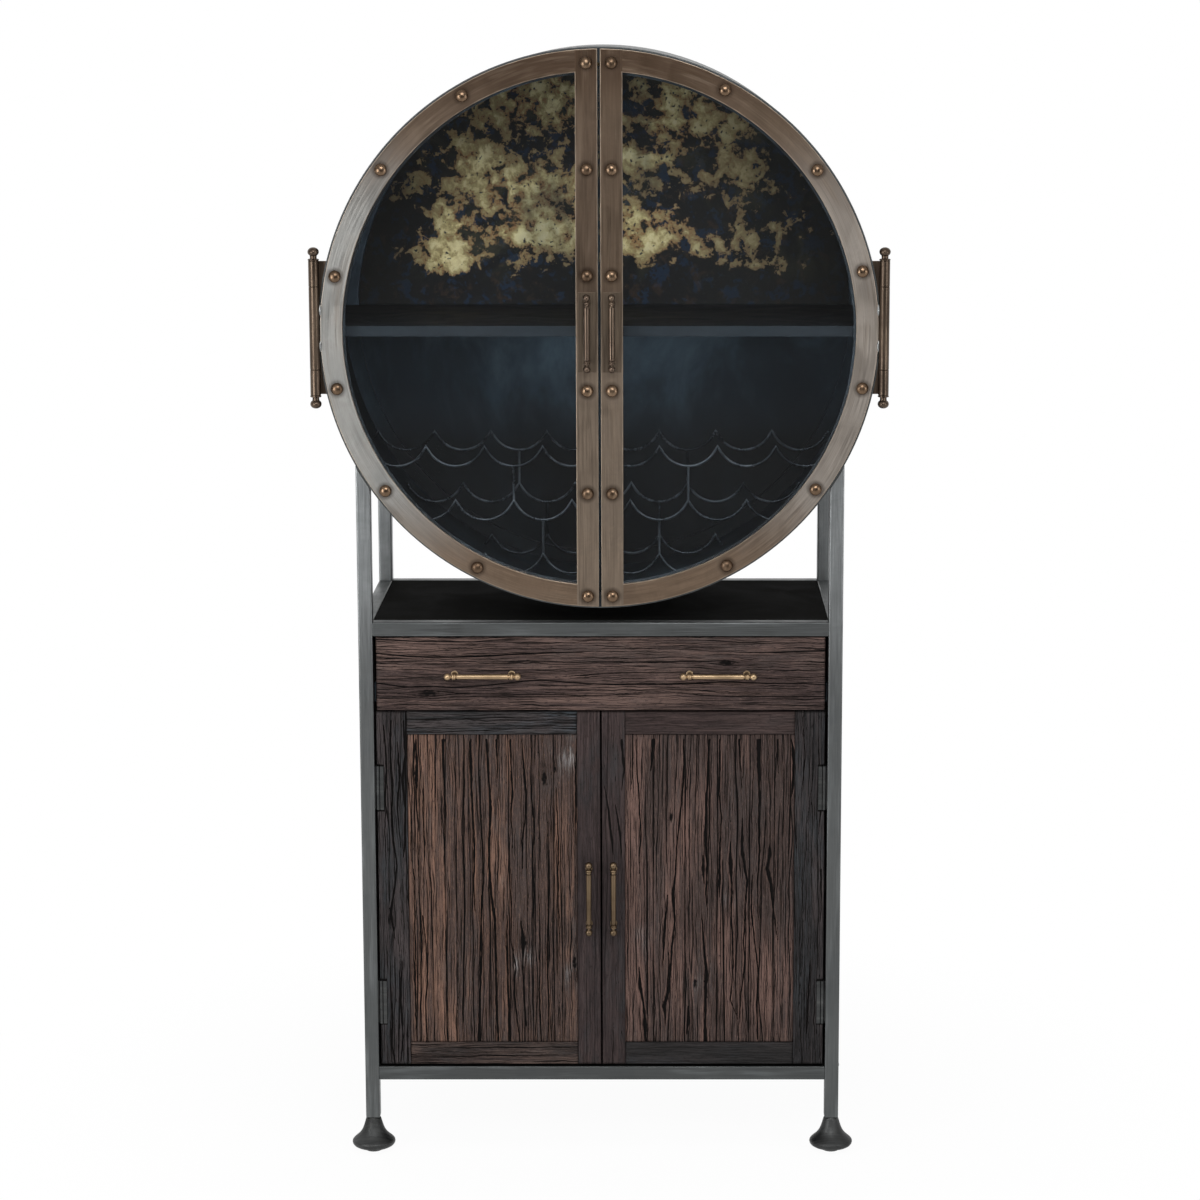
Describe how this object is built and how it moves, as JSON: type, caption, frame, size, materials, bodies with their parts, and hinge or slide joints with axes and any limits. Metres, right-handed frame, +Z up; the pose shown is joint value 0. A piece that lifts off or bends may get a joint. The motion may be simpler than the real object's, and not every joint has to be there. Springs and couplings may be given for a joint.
{
  "type": "round bar cabinet",
  "caption": "Steel-framed bar cabinet: a round glazed drum with hinged door halves, mirror and wine racks, over a drawer and a cupboard with plank doors, on bell feet.",
  "frame": {"origin": "on the floor, under the middle of the whole cabinet's width and depth, handles and feet included", "axes": "+Z up, +X to the viewer's right when facing the cabinet, -Y out of its front"},
  "size_m": [0.996, 0.5234, 1.956],
  "materials": {
    "gunmetal": "waxed gunmetal-coloured steel with wear",
    "dark_iron": "dark brushed cast iron",
    "black_board": "black painted board",
    "slate_steel": "dull slate-blue painted steel",
    "slate_board": "board painted a dull slate blue",
    "aged_bronze": "aged bronze-toned steel, rubbed at the edges",
    "aged_brass": "dark aged brass",
    "clear_glass": "clear sheet glass",
    "antique_mirror": "antiqued mirror with gold and cream blotches",
    "drawer_wood": "rough reclaimed wood, stained brown",
    "frame_wood": "rough reclaimed wood, stained charcoal",
    "panel_wood": "rough reclaimed planks, stained brown",
    "plain_wood": "plain sawn wood, oiled"
  },
  "bodies": {
    "cabinet": {"front_left_post": "gunmetal", "front_right_post": "gunmetal", "rear_left_post": "gunmetal", "rear_right_post": "gunmetal", "upper_front_rail": "gunmetal", "upper_rear_rail": "gunmetal", "upper_left_rail": "gunmetal", "upper_right_rail": "gunmetal", "lower_front_rail": "gunmetal", "lower_rear_rail": "gunmetal", "lower_left_rail": "gunmetal", "lower_right_rail": "gunmetal", "drum_shell": "gunmetal", "front_left_foot": "dark_iron", "front_right_foot": "dark_iron", "rear_left_foot": "dark_iron", "rear_right_foot": "dark_iron", "deck_panel": "black_board", "cupboard_floor": "black_board", "left_wall": "black_board", "right_wall": "black_board", "cupboard_back": "black_board", "drawer_divider": "black_board", "cupboard_shelf": "black_board", "left_drawer_runner": "slate_steel", "right_drawer_runner": "slate_steel", "drum_front_hoop": "slate_steel", "drum_back_pan": "slate_steel", "front_rack_top_row": "slate_steel", "front_rack_lower_rows": "slate_steel", "rear_rack_top_row": "slate_steel", "rear_rack_lower_rows": "slate_steel", "drum_shelf": "slate_board", "left_hinge_leaf": "aged_bronze", "left_hinge_pin": "aged_bronze", "right_hinge_leaf": "aged_bronze", "right_hinge_pin": "aged_bronze", "antique_mirror": "antique_mirror"},
    "left_drum_door": {"left_drum_ring": "aged_bronze", "left_drum_glass": "clear_glass", "left_glass_bead": "slate_steel", "left_drum_handle": "aged_brass"},
    "right_drum_door": {"right_drum_ring": "aged_bronze", "right_drum_glass": "clear_glass", "right_glass_bead": "slate_steel", "right_drum_handle": "aged_brass"},
    "drawer": {"drawer_front": "drawer_wood", "drawer_box": "plain_wood", "left_drawer_handle": "aged_brass", "right_drawer_handle": "aged_brass"},
    "left_cupboard_door": {"left_door_frame": "frame_wood", "left_door_panel": "panel_wood", "left_lower_door_leaf": "dark_iron", "left_upper_door_leaf": "dark_iron", "left_door_handle": "aged_brass"},
    "right_cupboard_door": {"right_door_frame": "frame_wood", "right_door_panel": "panel_wood", "right_lower_door_leaf": "dark_iron", "right_upper_door_leaf": "dark_iron", "right_door_handle": "aged_brass"}
  },
  "joints": [
    {"name": "left_drum_door_hinge", "type": "hinge", "parent": "cabinet", "child": "left_drum_door", "pos_m": [-0.488, -0.2278, 1.474], "axis": [0, 0, -1], "range_deg": [0, 170]},
    {"name": "right_drum_door_hinge", "type": "hinge", "parent": "cabinet", "child": "right_drum_door", "pos_m": [0.488, -0.2278, 1.474], "axis": [0, 0, 1], "range_deg": [0, 170]},
    {"name": "drawer_slide", "type": "slide", "parent": "cabinet", "child": "drawer", "axis": [0, -1, 0], "range_m": [0, 0.3]},
    {"name": "left_cupboard_door_hinge", "type": "hinge", "parent": "cabinet", "child": "left_cupboard_door", "pos_m": [-0.3925, -0.2178, 0.4843], "axis": [0, 0, -1], "range_deg": [0, 110]},
    {"name": "right_cupboard_door_hinge", "type": "hinge", "parent": "cabinet", "child": "right_cupboard_door", "pos_m": [0.3925, -0.2178, 0.4843], "axis": [0, 0, 1], "range_deg": [0, 110]}
  ]
}
